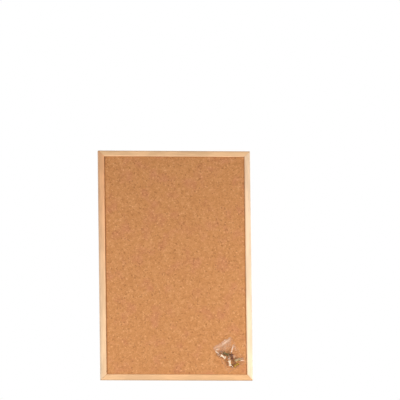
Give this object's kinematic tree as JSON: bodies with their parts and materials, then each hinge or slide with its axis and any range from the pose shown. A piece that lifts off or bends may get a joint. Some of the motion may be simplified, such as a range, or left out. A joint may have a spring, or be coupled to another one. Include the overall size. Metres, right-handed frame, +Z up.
{
  "type": "cork pin board",
  "caption": "Upright cork pin board in a mitred pine frame, with ring hangers on its back and a clear bag of push pins on its face.",
  "frame": {"origin": "middle of the board, on the plane of the rails' backs, where it lies against the wall", "axes": "+X to the right seen from the front, +Y into the wall behind, +Z up; the cork faces -Y"},
  "size_m": [0.4, 0.0276, 0.6],
  "materials": {
    "pale_pine": "satin",
    "cream_pine": "satin",
    "cork": "matte",
    "soft_fibreboard": "matte",
    "zinc_steel": "satin",
    "dark_steel": "satin",
    "clear_film": "gloss",
    "clear_glue": "satin",
    "white_plastic": "gloss",
    "yellow_plastic": "gloss",
    "red_plastic": "gloss",
    "green_plastic": "gloss"
  },
  "bodies": {
    "board": {"top_rail": "pale_pine", "right_rail": "cream_pine", "bottom_rail": "pale_pine", "left_rail": "pale_pine", "cork_sheet": "cork", "core_board": "soft_fibreboard", "corner_nail_1": "dark_steel", "corner_nail_2": "dark_steel", "corner_nail_3": "dark_steel", "corner_nail_4": "dark_steel", "corner_nail_5": "dark_steel", "corner_nail_6": "dark_steel", "corner_nail_7": "dark_steel", "corner_nail_8": "dark_steel", "panel_point_1": "dark_steel", "panel_point_2": "dark_steel", "panel_point_3": "dark_steel", "panel_point_4": "dark_steel", "panel_point_5": "dark_steel", "panel_point_6": "dark_steel", "panel_point_7": "dark_steel", "panel_point_8": "dark_steel", "panel_point_9": "dark_steel", "panel_point_10": "dark_steel", "left_hanger_strap": "zinc_steel", "left_hanger_screw": "zinc_steel", "right_hanger_strap": "zinc_steel", "right_hanger_screw": "zinc_steel"},
    "left_ring": {"left_hanger_ring": "zinc_steel"},
    "right_ring": {"right_hanger_ring": "zinc_steel"},
    "pin_bag": {"bag_back_film": "clear_film", "bag_front_film": "clear_film", "bag_dot": "clear_glue", "pin_head_1": "white_plastic", "pin_head_2": "green_plastic", "pin_head_3": "red_plastic", "pin_head_4": "white_plastic", "pin_head_5": "green_plastic", "pin_head_6": "yellow_plastic", "pin_needle_1": "zinc_steel", "pin_needle_2": "zinc_steel", "pin_needle_3": "zinc_steel", "pin_needle_4": "zinc_steel", "pin_needle_5": "zinc_steel", "pin_needle_6": "zinc_steel"}
  },
  "joints": [
    {"name": "left_ring_swing", "type": "hinge", "parent": "board", "child": "left_ring", "pos_m": [-0.1928, 0.0022, 0.18], "axis": [1, 0, 0], "range_deg": [0, 180]},
    {"name": "right_ring_swing", "type": "hinge", "parent": "board", "child": "right_ring", "pos_m": [0.1928, 0.0022, 0.18], "axis": [1, 0, 0], "range_deg": [0, 180]},
    {"name": "bag_lift", "type": "slide", "parent": "board", "child": "pin_bag", "axis": [0, -1, 0], "range_m": [0, 0.08]}
  ]
}
